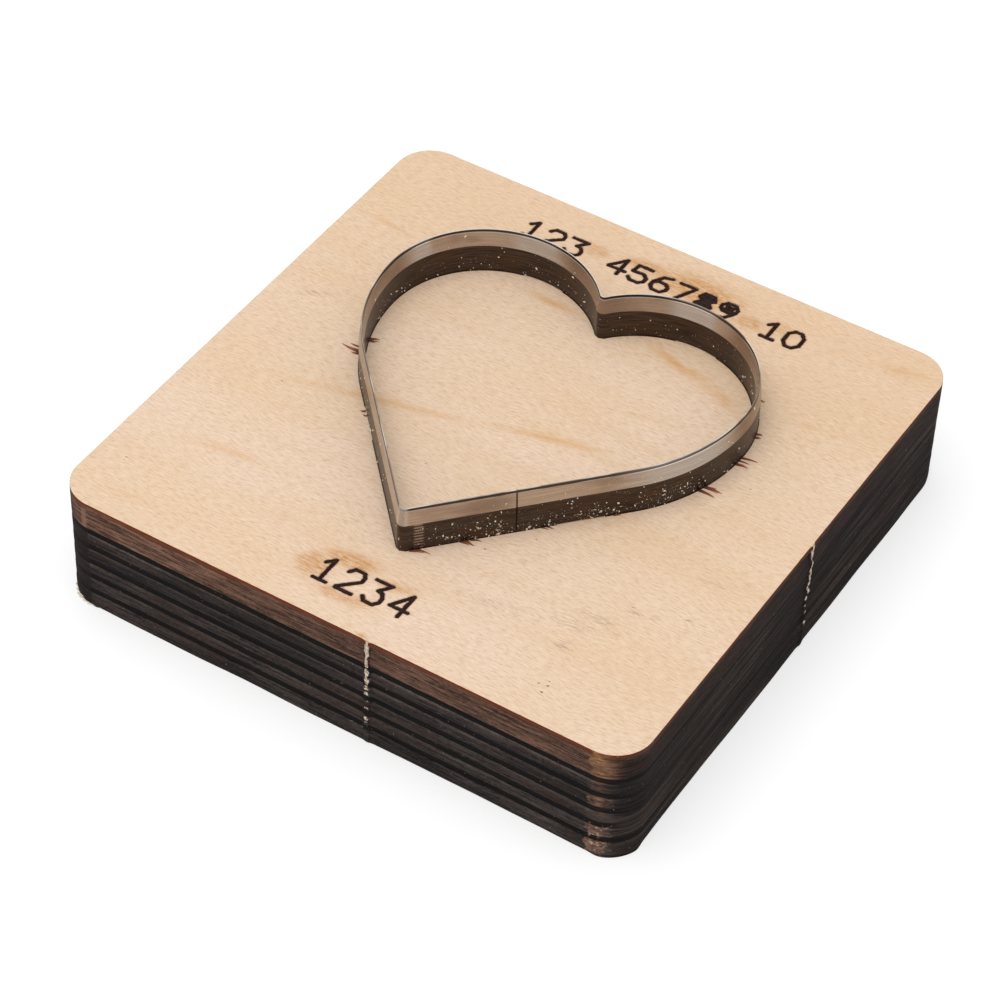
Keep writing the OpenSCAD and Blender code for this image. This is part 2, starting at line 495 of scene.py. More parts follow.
def facing(tree):
    """The parts of the direction that a surface faces."""
    direction = node(tree, "ShaderNodeNewGeometry").outputs["Normal"]
    return node(tree, "ShaderNodeSeparateXYZ", {0: direction}).outputs


def finished(tree, shader, colour, roughness, relief, strength, depth):
    """Gives a shader its colour, its roughness and a fine relief of some depth."""
    bump = node(tree, "ShaderNodeBump", {"Height": relief, "Strength": strength, "Distance": depth})
    for name, value in (("Base Color", colour), ("Roughness", roughness), ("Normal", bump.outputs[0])):
        tree.links.new(value, shader.inputs[name])


def blotch(tree, coords, centre, half_size, turn=0.0):
    """A soft oval patch on the board's plan: 1 in its middle, 0 at its rim. Millimetres and degrees."""
    settings = {
        "Vector": coords,
        "Location": (centre[0] * mm, centre[1] * mm, board_top),
        "Rotation": (0, 0, math.radians(turn)),
        "Scale": (half_size[0] * mm, half_size[1] * mm, 1.0),
    }
    oval = node(tree, "ShaderNodeMapping", settings, vector_type="TEXTURE").outputs[0]
    return node(tree, "ShaderNodeTexGradient", {0: oval}, gradient_type="QUADRATIC_SPHERE").outputs[1]


def painted_corner_highlight(tree, parts, coords):
    """Painted highlight where the edge turns into the front right corner, in patches along the grain: 1
    there, 0 elsewhere.
    """
    sway = stretched_noise(tree, coords, (500, 0, 1300), 3, 0.6, seed=4.0)
    past = calc(tree, "SUBTRACT", calc(tree, "MULTIPLY_ADD", sway, 3.0 * mm, parts[0]), half - corner_r)
    at_turn = between(tree, past, 1.2 * mm, 1.6 * mm, 2.5 * mm, 4.7 * mm)
    at_face = span(tree, parts[1], -half + 1.9 * mm, -half + 0.9 * mm)
    grain = stretched_noise(tree, coords, (900, 900, 6500), 3, 0.7, seed=5.0)
    patches = stretched_noise(tree, coords, (420, 420, 700), 2, 0.6, seed=9.0)
    patchy = span(tree, patches, 0.36, 0.6, 0.1, 1.0)
    streaky = span(tree, grain, 0.38, 0.62, 0.15, 1.0)
    turns = calc(tree, "SINE", product(tree, parts[2], math.pi / ply_pair_t))
    outer_plies = calc(tree, "MAXIMUM", span(tree, parts[2], 2.6 * mm, 2.2 * mm),
                       span(tree, parts[2], board_top - 4.2 * mm, board_top - 3.9 * mm))
    uneven = calc(tree, "MAXIMUM", span(tree, turns, -0.9, 0.9, 1.0, 0.35), outer_plies)
    return product(tree, at_turn, at_face, patchy, streaky, uneven)


def torn_fibres(tree, coords):
    """Bare wood on a torn stub: how much of it shows between the fibres, and its colour."""
    fibres = stretched_noise(tree, coords, (5200, 5200, 2600), 3, 0.75, seed=26.0)
    bare = product(tree, attribute(tree, "raw"), span(tree, fibres, 0.34, 0.54, 0.25, 1.25))
    wood = blend(tree, span(tree, fibres, 0.4, 0.6), srgb(216, 180, 140), srgb(255, 247, 232))
    return span(tree, bare, 0.25, 0.6), wood


def charred_finish(name, dark, light, warm, bronze, ridge_highlight):
    """Burnt edge grain: near black, with fine paler lines along the grain and a painted highlight where its
    ridges face up, fading towards the underside; brown where it is burnt less, a painted bronze highlight
    with painted glints at a corner's start, bare wood on torn fibres, and specks of ash.
    A face laid bare on the underside is pale veneer."""
    material, tree, shader, coords, parts = new_finish(name)
    lines = stretched_noise(tree, coords, (120, 120, 3000), 4, 0.8, seed=1.0)
    dashes = stretched_noise(tree, coords, (900, 900, 7000), 3, 0.7, seed=7.0)
    clouds = stretched_noise(tree, coords, (110, 110, 260), 3, 0.6, seed=2.0)
    ash = stretched_noise(tree, coords, (2600, 2600, 2600), 1, 0.5, seed=3.0)
    grit = stretched_noise(tree, coords, (1500, 1500, 3600), 4, 0.8, seed=24.0)
    colour = layered(
        tree, dark,
        (lines, (0.40, 0.62), light),
        (dashes, (0.50, 0.68, 0.0, 0.7), light),
        (dashes, (0.34, 0.46, 0.6, 0.0), srgb(20, 18, 18)),
        (clouds, (0.46, 0.66, 0.0, 0.75), warm),
        (grit, (0.50, 0.64, 0.0, 0.7), light),
        (grit, (0.32, 0.46, 0.7, 0.0), srgb(16, 14, 14)),
    )
    # Painted highlight: paler where the ridges of the grain face up, fading towards the underside.
    highlight_height = span(tree, parts[2], 2 * mm, board_top - 5 * mm, 0.0, ridge_highlight)
    normal = facing(tree)
    lip_highlight = product(tree, span(tree, normal[2], 0.12, 0.6), highlight_height, span(tree, dashes, 0.36, 0.6, 0.3, 1.0))
    colour = blend(tree, lip_highlight, colour, srgb(122, 108, 101))
    long_lines = stretched_noise(tree, coords, (45, 45, 3000), 4, 0.75, seed=25.0)
    side_lines = blend(tree, span(tree, long_lines, 0.44, 0.62), srgb(24, 20, 19), srgb(84, 70, 63))
    side = span(tree, calc(tree, "ABSOLUTE", normal[0]), 0.35, 0.85, 0.0, 0.75)
    colour = blend(tree, side, colour, side_lines)
    soot = span(tree, stretched_noise(tree, coords, (60, 60, 170), 2, seed=10.0), 0.42, 0.62, 0.0, 0.5)
    colour = blend(tree, soot, colour, srgb(25, 22, 22))
    # Painted bronze highlight at the front right corner, with pale painted glints low down in it.
    corner_highlight = painted_corner_highlight(tree, parts, coords)
    colour = blend(tree, corner_highlight, colour, bronze)
    corner_glints = product(tree, span(tree, ash, 0.54, 0.66), span(tree, parts[2], 6 * mm, 4.5 * mm), corner_highlight)
    colour = blend(tree, corner_glints, colour, srgb(226, 196, 176))
    colour = blend(tree, span(tree, ash, 0.72, 0.79, 0.0, 0.8), colour, srgb(158, 144, 130))
    smooth_turn = product(tree, span(tree, parts[0], -34.9 * mm, -35.3 * mm, 0.0, 0.75),
                          span(tree, parts[1], -30 * mm, -33 * mm))
    colour = blend(tree, smooth_turn, colour, srgb(40, 34, 32))
    bare, bare_wood = torn_fibres(tree, coords)
    colour = blend(tree, bare, colour, bare_wood)
    veneer = stretched_noise(tree, coords, (300, 4000, 0), 4, 0.7, seed=22.0)
    veneer = blend(tree, span(tree, veneer, 0.35, 0.7), srgb(236, 208, 178), srgb(206, 168, 130))
    colour = blend(tree, span(tree, normal[2], -0.97, -0.995), colour, veneer)
    shader.inputs["Specular IOR Level"].default_value = 0.14
    relief = calc(tree, "ADD", lines, calc(tree, "MULTIPLY_ADD", dashes, 0.5, grit))
    finished(tree, shader, colour, span(tree, lines, 0.3, 0.7, 0.85, 0.6), relief, 0.8, 0.1 * mm)
    return material


core_char = charred_finish(
    "charred_core_grain", dark=srgb(33, 30, 30), light=srgb(92, 82, 78), warm=srgb(72, 55, 48),
    bronze=srgb(172, 130, 106), ridge_highlight=1.0)
cross_char = charred_finish(
    "charred_cross_grain", dark=srgb(19, 17, 17), light=srgb(34, 30, 29), warm=srgb(32, 26, 23),
    bronze=srgb(66, 46, 34), ridge_highlight=0.0)
core_rows = np.array([0, 0.12, 0.26, 0.42, 0.58, 0.72, 0.84, 0.93, 1.0])
cross_rows = np.array([0, 0.2, 0.4, 0.6, 0.8, 1.0])


def finish_ply(blank, name, material, streak, wave, seed):
    """Works streaks and waves of some depth into a blank's edge, and gives the ply its finish."""
    mesh = shaped(blank, edge_tree, material, streak=streak, wave=wave, seed=float(seed))
    mesh.shade_smooth()
    mesh.set_sharp_from_angle(angle=math.radians(50))
    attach(blank, "root")
    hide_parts(name)


for i in range(1, cross_plies):
    name = f"core_ply_{i}"
    inset, raw = ply_edge(name, core_rows, recess=0.0, side_recess=0.04 * mm,
                          shoulder=0.12 * mm, undercut=0.05 * mm)
    blank = ply_blank(name, core_rows, inset, raw)
    finish_ply(blank, name, core_char, streak=0.035 * mm, wave=0.05 * mm, seed=i)
for i in range(1, cross_plies + 1):
    name = f"cross_ply_{i}"
    inset, raw = ply_edge(name, cross_rows, recess=0.15 * mm, side_recess=0.05 * mm,
                          shoulder=0.03 * mm, undercut=0.03 * mm)
    blank = ply_blank(name, cross_rows, inset, raw)
    finish_ply(blank, name, cross_char, streak=0.04 * mm, wave=0.05 * mm, seed=10 + i)

# The bottom face ply: the last veneer, charred through at its edge and worn wavy along its lower arris.
# A flake has broken off its front left corner and shows bare wood, and its front right corner stands out.
chip_h = 0.45 * mm
chip_depth = 0.3 * mm
arris_wear = 0.22 * mm
corner_bulge = 0.28 * mm
name = "bottom_face_ply"
bottom_rows = np.array([0, 0.06, 0.14, 0.24, 0.36, 0.5, 0.64, 0.78, 0.9, 1.0])
inset, raw = ply_edge(name, bottom_rows, recess=0.0, side_recess=0.03 * mm,
                      shoulder=0.12 * mm, undercut=0.03 * mm)
bottom_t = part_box(name)[1].z
edge_along = np.cumsum(np.hypot(*np.diff(edge_places, axis=0, prepend=edge_places[-1:]).T))
at_corner = smoothstep(half - corner_r, half - corner_r + 2 * mm, edge_places * [1, -1]).prod(axis=1)
to_chip = edge_places @ np.array([-1, -1]) / math.sqrt(2) - (half - corner_r) * math.sqrt(2)
wavy = arris_wear * (0.5 + 0.5 * wobble(31, edge_along, 130)) * (1 - at_corner) * (to_chip < 3 * mm)
for row, rise in enumerate(bottom_rows):
    z = rise * bottom_t
    wear_and_glints = (1 - rise) ** 4 * wavy
    bulge = corner_bulge * at_corner * (1 - smoothstep(0.3, 1.0, rise))
    inset[row] = inset[row] + wear_and_glints - bulge
    limit = corner_r - chip_depth * (1 - z / chip_h)
    over = np.maximum(0, to_chip - inset[row] - limit) * (z < chip_h)
    inset[row] = inset[row] + over
    raw[row] = np.maximum(raw[row], smoothstep(0.05 * mm, 0.2 * mm, over))
blank = ply_blank(name, bottom_rows, inset, raw)
finish_ply(blank, name, core_char, streak=0.035 * mm, wave=0.05 * mm, seed=30)

# The top face ply: a pale birch veneer, sanded flat, with a scorched rim and a kerf for the rule.
# The laser has also burnt plain numbers into it along its far edge and its front, as shallow grooves
# that are charred inside and have browned the wood round them.
stroke_w = 0.52 * mm
groove_depth = 0.3 * mm
mark_step = 0.11 * mm
mark_margin = 1.2 * mm
digit_w = 2.2 * mm
digit_strokes = {
    "0": [[(0.3, 0), (0, 0.25), (0, 0.75), (0.3, 1), (0.7, 1), (1, 0.75), (1, 0.25), (0.7, 0), (0.3, 0)]],
    "1": [[(0.15, 0.75), (0.55, 1), (0.55, 0)], [(0.15, 0), (0.95, 0)]],
    "2": [[(0, 0.8), (0.25, 1), (0.8, 1), (1, 0.82), (1, 0.62), (0, 0.05), (0, 0), (1, 0)]],
    "3": [[(0, 1), (1, 1), (0.5, 0.6), (0.8, 0.57), (1, 0.38), (1, 0.17), (0.78, 0), (0.2, 0), (0, 0.16)]],
    "4": [[(0.78, 0), (0.78, 1), (0, 0.3), (1.1, 0.3)]],
    "5": [[(1, 1), (0.1, 1), (0, 0.55), (0.7, 0.6), (1, 0.42), (1, 0.18), (0.75, 0), (0.2, 0), (0, 0.14)]],
    "6": [[(0.9, 1), (0.4, 0.9), (0, 0.45), (0, 0.2), (0.25, 0), (0.75, 0), (1, 0.2), (1, 0.4),
           (0.75, 0.56), (0.25, 0.56), (0, 0.4)]],
    "7": [[(0, 1), (1, 1), (0.3, 0)]],
    "8": [[(0.3, 0.55), (0, 0.72), (0.2, 1), (0.8, 1), (1, 0.72), (0.7, 0.55), (0.3, 0.55), (0, 0.3),
           (0.2, 0), (0.8, 0), (1, 0.3), (0.7, 0.55)], [(0.3, 0.72), (0.7, 0.72), (0.7, 0.84), (0.3, 0.84)],
          [(0.3, 0.36), (0.7, 0.36), (0.7, 0.2), (0.3, 0.2)]],
    "9": [[(0.1, 0), (0.6, 0.1), (1, 0.55), (1, 0.8), (0.75, 1), (0.25, 1), (0, 0.8), (0, 0.62),
           (0.25, 0.46), (0.75, 0.46), (1, 0.62)], [(0.3, 0.64), (0.7, 0.64), (0.7, 0.8), (0.3, 0.8)]],
}
far_row = {"digits": "123 456789 10", "start": -19.0 * mm, "pitch": 3.2 * mm,
           "base": 31.4 * mm, "height": 3.1 * mm}
front_row = {"digits": "1234", "start": -6.4 * mm, "pitch": 3.45 * mm,
             "base": -34.8 * mm, "height": 3.7 * mm}


def burnt_groove_tree():
    """Sinks a grid of points where it passes near the strokes, and keeps how burnt each point is."""
    tree, given = new_tree("burnt_groove", strokes="Object", width="Float", depth="Float")
    strokes = node(tree, "GeometryNodeObjectInfo", {"Object": given["strokes"]}).outputs["Geometry"]
    distance = node(tree, "GeometryNodeProximity", {0: strokes}, target_element="EDGES").outputs["Distance"]
    place = node(tree, "GeometryNodeInputPosition").outputs[0]
    ragged = stretched_noise(tree, place, (1500, 2600, 0), 3, 0.6, seed=6.0)
    browned = stretched_noise(tree, place, (500, 1700, 0), 3, 0.6, seed=8.0)
    rim = calc(tree, "ADD", product(tree, given["width"], 0.5),
               calc(tree, "MULTIPLY_ADD", ragged, 0.24 * mm, -0.12 * mm))
    past = calc(tree, "SUBTRACT", distance, rim)
    fringe = product(tree, browned, 0.5 * mm)
    burnt = calc(tree, "SUBTRACT", 1.0, calc(tree, "DIVIDE", past, fringe), clamp=True)
    kept = keeping(tree, given["geometry"], "burn", burnt)
    sunk = product(tree, span(tree, past, -0.24 * mm, 0.05 * mm, -1.0, 0.0), given["depth"])
    down = node(tree, "ShaderNodeCombineXYZ", {2: sunk}).outputs[0]
    return ended(tree, shifted(tree, kept, down))


groove_tree = burnt_groove_tree()


def burnt_row(row):
    """A grid of points with a row of numbers burnt into it: points, faces, rim and how burnt each is."""
    points, edges = [], []
    for place, digit in enumerate(row["digits"]):
        left = row["start"] + place * row["pitch"]
        for line in digit_strokes.get(digit, []):
            first = len(points)
            points += [(left + u * digit_w, row["base"] + v * row["height"], board_top) for u, v in line]
            edges += [(first + k, first + k + 1) for k in range(len(line) - 1)]
    strokes = mesh_object("strokes", points, edges)
    low = np.min(points, axis=0)[:2] - mark_margin
    high = np.max(points, axis=0)[:2] + mark_margin
    columns, lines = np.ceil((high - low) / mark_step).astype(int) + 1
    x, y = np.meshgrid(np.linspace(low[0], high[0], columns), np.linspace(low[1], high[1], lines))
    index = np.arange(columns * lines).reshape(lines, columns)
    corners = [index[:-1, :-1], index[:-1, 1:], index[1:, 1:], index[1:, :-1]]
    faces = np.stack(corners, axis=-1).reshape(-1, 4)
    rim = np.concatenate([index[0, :-1], index[:-1, -1], index[-1, :0:-1], index[:0:-1, 0]])
    grid = mesh_object("grid", np.c_[x.ravel(), y.ravel(), np.full(x.size, board_top)], faces=faces.tolist())
    mesh = shaped(grid, groove_tree, None, strokes=strokes, width=stroke_w, depth=groove_depth)
    place = np.array([v.co for v in mesh.vertices])
    burnt = np.array([value.value for value in mesh.attributes["burn"].data])
    for scratch in (strokes, grid):
        bpy.data.objects.remove(scratch)
    return place, faces.tolist(), rim, burnt


def veneer_finish():
    """Sanded birch: cream with fine dashes along the grain, a few tan streaks and specks, brown soot round
    the burnt numbers, a red-brown scorched rim, and the charred brown of its laser-cut edge. The edge has
    painted shade on its sideways faces and painted highlights where its front meets the corners.
    Patches are given as centre, half size, turn and strength, in millimetres and degrees."""
    material, tree, shader, coords, parts = new_finish("birch_veneer")
    bend = stretched_noise(tree, coords, (60, 60, 0), 2, seed=11.0)
    sideways = calc(tree, "MULTIPLY_ADD", bend, 5 * mm, -2.5 * mm)
    flowing = added(tree, coords, node(tree, "ShaderNodeCombineXYZ", {1: sideways}).outputs[0])
    dashes = stretched_noise(tree, flowing, (800, 6200, 0), 4, 0.7, 0.3, seed=12.0)
    pores = stretched_noise(tree, flowing, (1100, 7600, 0), 2, 0.5, 0.0, seed=13.0)
    bands = stretched_noise(tree, flowing, (14, 230, 0), 3, 0.55, seed=14.0)
    clouds = stretched_noise(tree, coords, (45, 70, 0), 2, 0.5, seed=15.0)
    colour = layered(
        tree, srgb(240, 214, 190),
        (clouds, (0.3, 0.7), srgb(237, 208, 177)),
        (bands, (0.45, 0.75, 0.0, 0.5), srgb(229, 194, 157)),
        (parts[1], (12 * mm, 36 * mm, 0.0, 0.35), srgb(231, 194, 150)),
        (dashes, (0.44, 0.68, 0.0, 0.72), srgb(208, 170, 132)),
        (dashes, (0.30, 0.44, 0.6, 0.0), srgb(248, 230, 208)),
        (pores, (0.62, 0.78, 0.0, 0.6), srgb(172, 132, 98)),
    )

    frayed = stretched_noise(tree, coords, (120, 420, 0), 3, 0.6, seed=16.0)
    fray = node(tree, "ShaderNodeCombineXYZ", {
        0: calc(tree, "MULTIPLY_ADD", frayed, 9 * mm, -4.5 * mm),
        1: calc(tree, "MULTIPLY_ADD", frayed, 2 * mm, -1 * mm),
    }).outputs[0]
    ragged = added(tree, coords, fray)
    tan_streaks = [
        ((-15, -5), (26, 1.5), 14, 0.55), ((4, 0.3), (14, 1.3), 14, 0.7), ((18, 18.4), (8, 1.7), -19, 0.6),
        ((10.5, 20.9), (10, 1.5), -16, 0.85), ((-8, 22), (8, 1.5), -2, 0.8), ((30, 20), (8, 1), 8, 0.35),
        ((34.5, 35.3), (5, 1.6), 10, 0.5), ((-26, -23), (9, 1.6), 6, 0.4), ((12, 10), (10, 0.9), 12, 0.3),
        ((-32, -36), (6, 1.6), 12, 0.25), ((-34, 23.2), (8, 0.9), -4, 0.6),
    ]
    streaked = strongest(tree, [product(tree, blotch(tree, ragged, centre, size, turn), strength)
                                for centre, size, turn, strength in tan_streaks])
    colour = blend(tree, product(tree, streaked, 0.9), colour, srgb(216, 160, 92))

    smudges = [
        ((23.8, -28.1), (2.2, 1.3), 20, 0.8), ((25.5, -22.2), (6, 1.6), 8, 0.5),
        ((24, -24.6), (7, 1.6), 6, 0.35), ((-33.8, 6.8), (3, 1.3), 30, 0.5),
        ((28.5, -19), (3, 0.8), 10, 0.5), ((33, -10), (4, 1), 10, 0.3), ((14, -27), (9, 1.6), 8, 0.3),
        ((-34.8, -2.2), (2.5, 1), 20, 0.35), ((20, -13), (5, 1), 10, 0.25),
    ]
    greyed = 0.0
    for centre, size, turn, strength in smudges:
        greyed = calc(tree, "MULTIPLY_ADD", blotch(tree, ragged, centre, size, turn), strength, greyed)
    smear = product(tree, greyed, span(tree, dashes, 0.36, 0.62), clamp=True)
    colour = blend(tree, smear, colour, srgb(150, 126, 104))
    specks = [
        ((25.7, -35.6), (0.42, 0.3)), ((25.8, -34.4), (0.38, 0.26)), ((24.7, -34.6), (0.34, 0.2)),
        ((25.6, -33.7), (0.24, 0.14)), ((8.2, -19.9), (0.42, 0.2)), ((-35.9, -30.7), (0.3, 0.18)),
        ((-35.9, -31.2), (0.24, 0.12)), ((12.4, -15.2), (0.3, 0.14)), ((29.2, 6.4), (0.3, 0.15)),
        ((-5.5, -11.6), (0.3, 0.13)), ((27.6, -18.4), (0.6, 0.1)), ((-28.2, -9.1), (0.25, 0.14)),
        ((33.9, -16.7), (0.9, 0.14)),
    ]
    spots = strongest(tree, [blotch(tree, coords, centre, size, 8) for centre, size in specks])
    colour = blend(tree, span(tree, spots, 0.05, 0.6, 0.0, 0.8), colour, srgb(104, 72, 52))

    soot_spots = [((-7.0, -33.0), (5.0, 4.2), 0, 0.95), ((-3.5, -30.2), (7.0, 2.9), 8, 1.0),
                  ((-1.5, -35.6), (8.0, 2.2), 4, 0.75), ((3.2, -30.9), (5.5, 1.8), 8, 0.7),
                  ((6.0, 34.4), (13.0, 5.4), 0, 1.0), ((-1.5, 34.8), (7.0, 2.4), 0, 0.9),
                  ((14.2, 32.6), (5.0, 2.6), 0, 0.75), ((-9.0, 34.0), (5.0, 2.6), 0, 0.6),
                  ((18.5, 34.0), (5.0, 2.6), 0, 0.5), ((4.4, -39.6), (2.2, 0.9), 0, 0.7)]
    drifted = added(tree, coords, scaled(tree, fray, 0.3))
    sooty = strongest(tree, [span(tree, blotch(tree, drifted, centre, size, turn), 0.0, 0.6, 0.0, strength)
                             for centre, size, turn, strength in soot_spots])
    mottled = span(tree, stretched_noise(tree, coords, (700, 3600, 0), 4, 0.75, seed=17.0), 0.34, 0.68)
    soot = product(tree, sooty, calc(tree, "MULTIPLY_ADD", mottled, 0.8, 0.15), clamp=True)
    colour = blend(tree, soot, colour, srgb(194, 126, 16))
    burn = attribute(tree, "burn")
    browned = span(tree, burn, 0.1, 0.9, 0.0, 0.8)
    singed = product(tree, browned, span(tree, mottled, 0.0, 1.0, 0.25, 1.0))
    colour = blend(tree, singed, colour, srgb(120, 62, 28))
    charred = span(tree, stretched_noise(tree, coords, (2500, 5000, 0), 2, seed=18.0), 0.3, 0.7)
    char = blend(tree, charred, srgb(24, 10, 6), srgb(62, 33, 21))
    colour = blend(tree, span(tree, burn, 0.8, 0.96), colour, char)
    kerf_rim = span(tree, attribute(tree, "scorch"), 0.3, 0.95, 0.0, 0.9)
    colour = blend(tree, kerf_rim, colour, srgb(74, 38, 22))

    inner = half - corner_r
    away = [calc(tree, "SUBTRACT", calc(tree, "ABSOLUTE", parts[axis]), inner) for axis in (0, 1)]
    round_part = node(tree, "ShaderNodeCombineXYZ", {
        0: calc(tree, "MAXIMUM", away[0], 0.0), 1: calc(tree, "MAXIMUM", away[1], 0.0)}).outputs[0]
    length = node(tree, "ShaderNodeVectorMath", {0: round_part}, operation="LENGTH").outputs["Value"]
    flat_part = calc(tree, "MINIMUM", calc(tree, "MAXIMUM", *away), 0.0)
    to_rim = calc(tree, "SUBTRACT", calc(tree, "SUBTRACT", corner_r, length), flat_part)
    uneven = stretched_noise(tree, coords, (700, 700, 0), 3, 0.6, seed=19.0)
    wavering = calc(tree, "MULTIPLY_ADD", uneven, 0.5 * mm, to_rim)
    rim = span(tree, wavering, 0.18 * mm, 0.42 * mm, 1.0, 0.0)
    colour = blend(tree, product(tree, rim, 0.8), colour, srgb(176, 110, 66))

    lines = stretched_noise(tree, coords, (240, 240, 4200), 4, 0.8, seed=20.0)
    smoke = stretched_noise(tree, coords, (150, 150, 500), 3, 0.6, seed=21.0)
    less_burnt = span(tree, parts[0], -30 * mm, 0, 0.75, 0.0)
    pale_grain = blend(tree, less_burnt, srgb(146, 109, 91), srgb(176, 132, 108))
    dark_grain = blend(tree, less_burnt, srgb(62, 43, 36), srgb(84, 58, 46))
    fine_lines = stretched_noise(tree, coords, (1500, 1500, 9000), 4, 0.8, seed=27.0)
    depth = calc(tree, "SUBTRACT", board_top, parts[2])
    scorched_to = calc(tree, "MULTIPLY_ADD", calc(tree, "ADD", smoke, lines), 0.7 * mm, depth)
    edge = layered(
        tree, dark_grain,
        (lines, (0.42, 0.6), pale_grain),
        (smoke, (0.42, 0.7, 0.0, 0.5), srgb(80, 57, 48)),
        (fine_lines, (0.36, 0.48, 0.5, 0.0), srgb(56, 38, 31)),
        (fine_lines, (0.52, 0.64, 0.0, 0.5), srgb(178, 136, 114)),
        (scorched_to, (0.95 * mm, 1.6 * mm, 0.9, 0.0), srgb(126, 62, 35)),
    )
    normal = facing(tree)
    # Painted shade: the faces that point sideways are darkened with dark lines, more so lower down.
    across = span(tree, calc(tree, "ABSOLUTE", normal[0]), 0.35, 0.8)
    side_shade = product(tree, across, span(tree, depth, 0.2 * mm, 1.3 * mm, 0.3, 0.93))
    shaded_side_lines = blend(tree, span(tree, lines, 0.36, 0.66), srgb(26, 20, 19), srgb(62, 47, 42))
    edge = blend(tree, side_shade, edge, shaded_side_lines)
    # Painted bronze highlight at the front right corner of the veneer's edge.
    edge = blend(tree, painted_corner_highlight(tree, parts, coords), edge, srgb(200, 148, 98))
    # Painted highlight: a pale strip on the front edge where the left corner starts.
    left_corner_highlight = between(tree, parts[0], -35.95 * mm, -35.8 * mm, -35.35 * mm, -35.0 * mm)
    below_rim = span(tree, depth, 0.7 * mm, 1.2 * mm, 0.0, 0.75)
    front = span(tree, parts[1], -20 * mm, -30 * mm)
    edge = blend(tree, product(tree, left_corner_highlight, below_rim, front), edge, srgb(160, 124, 100))
    nicks = span(tree, stretched_noise(tree, coords, (330, 330, 0), 2, 0.6, seed=23.0), 0.66, 0.7)
    nicks = product(tree, nicks, span(tree, depth, 0.15 * mm, 0.4 * mm, 0.9, 0.0))
    edge = blend(tree, nicks, edge, srgb(226, 186, 142))
    bare, bare_wood = torn_fibres(tree, coords)
    edge = blend(tree, bare, edge, bare_wood)
    on_edge = span(tree, calc(tree, "ABSOLUTE", normal[2]), 0.35, 0.75, 1.0, 0.0)
    in_outline = span(tree, to_rim, 0.9 * mm, 1.1 * mm, 1.0, 0.0)
    colour = blend(tree, product(tree, on_edge, in_outline), colour, edge)
    tree.links.new(span(tree, on_edge, 0.0, 1.0, 0.25, 0.12), shader.inputs["Specular IOR Level"])
    relief = calc(tree, "MULTIPLY_ADD", dashes, 0.35, product(tree, lines, on_edge))
    finished(tree, shader, colour, span(tree, dashes, 0.3, 0.7, 0.7, 0.58), relief, 0.5, 0.08 * mm)
    return material


name = "top_face_ply"
top_rows = np.array([0, 0.1, 0.22, 0.36, 0.5, 0.64, 0.78, 0.9, 0.97, 1.0])
inset, raw = ply_edge(name, top_rows, recess=0.0, side_recess=0.02 * mm,
                      shoulder=0.05 * mm, undercut=0.04 * mm)
blank = ply_blank(name, top_rows, inset, raw, marks=[burnt_row(far_row), burnt_row(front_row)])
finish_ply(blank, name, veneer_finish(), streak=0.06 * mm, wave=0.03 * mm, seed=20)

# The cutting rule: one strip of hardened steel, bent to a heart on a bender and driven into the kerf.
# Its faces keep the mill's dark oxide. Two long bevels are shaved bright, and the honed edge on top is
# tempered dark. The ends butt together on the right side, and the bends show the bender's marks.
rule_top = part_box("cutting_rule")[1].z
rule_t = 0.71 * mm
bevel_h = 2.1 * mm
bevel_top_t = 0.26 * mm
edge_h = 0.45 * mm
edge_flat = 0.03 * mm
joint_up_side = 14 * mm
joint_along = along_of(
    joint_up_side * math.cos(side_slope),
    heart_point_y + joint_up_side * math.sin(side_slope),
)
joint_gap = 0.06 * mm
notch_side_gap = 0.25 * mm
notch_top_gap = 0.1 * mm
rule_sharp_angle = math.radians(4.6)
bevel_foot = rule_top - edge_h - bevel_h
bevel_head = rule_top - edge_h


def bent_rule_tree():
    """Carries the rule's section along its path and cuts the notches that straddle the bridges."""
    tree, given = new_tree("bent_rule", section="Object", notches="Object")
    path = node(tree, "GeometryNodeMeshToCurve", {0: given["geometry"]}).outputs[0]
    upright = node(tree, "GeometryNodeSetCurveNormal", {0: path}, mode="Z_UP").outputs[0]
    along = node(tree, "GeometryNodeSplineParameter").outputs["Length"]
    measured = keeping(tree, upright, "along", along)
    outline = node(tree, "GeometryNodeObjectInfo", {"Object": given["section"]}).outputs["Geometry"]
    section = node(tree, "GeometryNodeMeshToCurve", {0: outline}).outputs[0]
    swept = {"Curve": measured, "Profile Curve": section, "Fill Caps": True}
    strip = node(tree, "GeometryNodeCurveToMesh", swept).outputs[0]
    blocks = node(tree, "GeometryNodeObjectInfo", {"Object": given["notches"]}).outputs["Geometry"]
    notched = node(tree, "GeometryNodeMeshBoolean", {"Mesh 1": strip, "Mesh 2": blocks},
                   operation="DIFFERENCE", solver="EXACT").outputs[0]
    uncut = {"Mesh": strip, "Value": kept_value(tree, "along")}
    uncut_along = node(tree, "GeometryNodeSampleNearestSurface", uncut, data_type="FLOAT").outputs[0]
    return ended(tree, keeping(tree, notched, "along", uncut_along))


def stretches(tree, along, *limits):
    """Stretches of the rule that fade at both ends, from millimetres along it and the share of each."""
    return strongest(tree, [between(tree, along, start * mm, full * mm, fading * mm, end * mm, share)
                            for start, full, fading, end, share in limits])


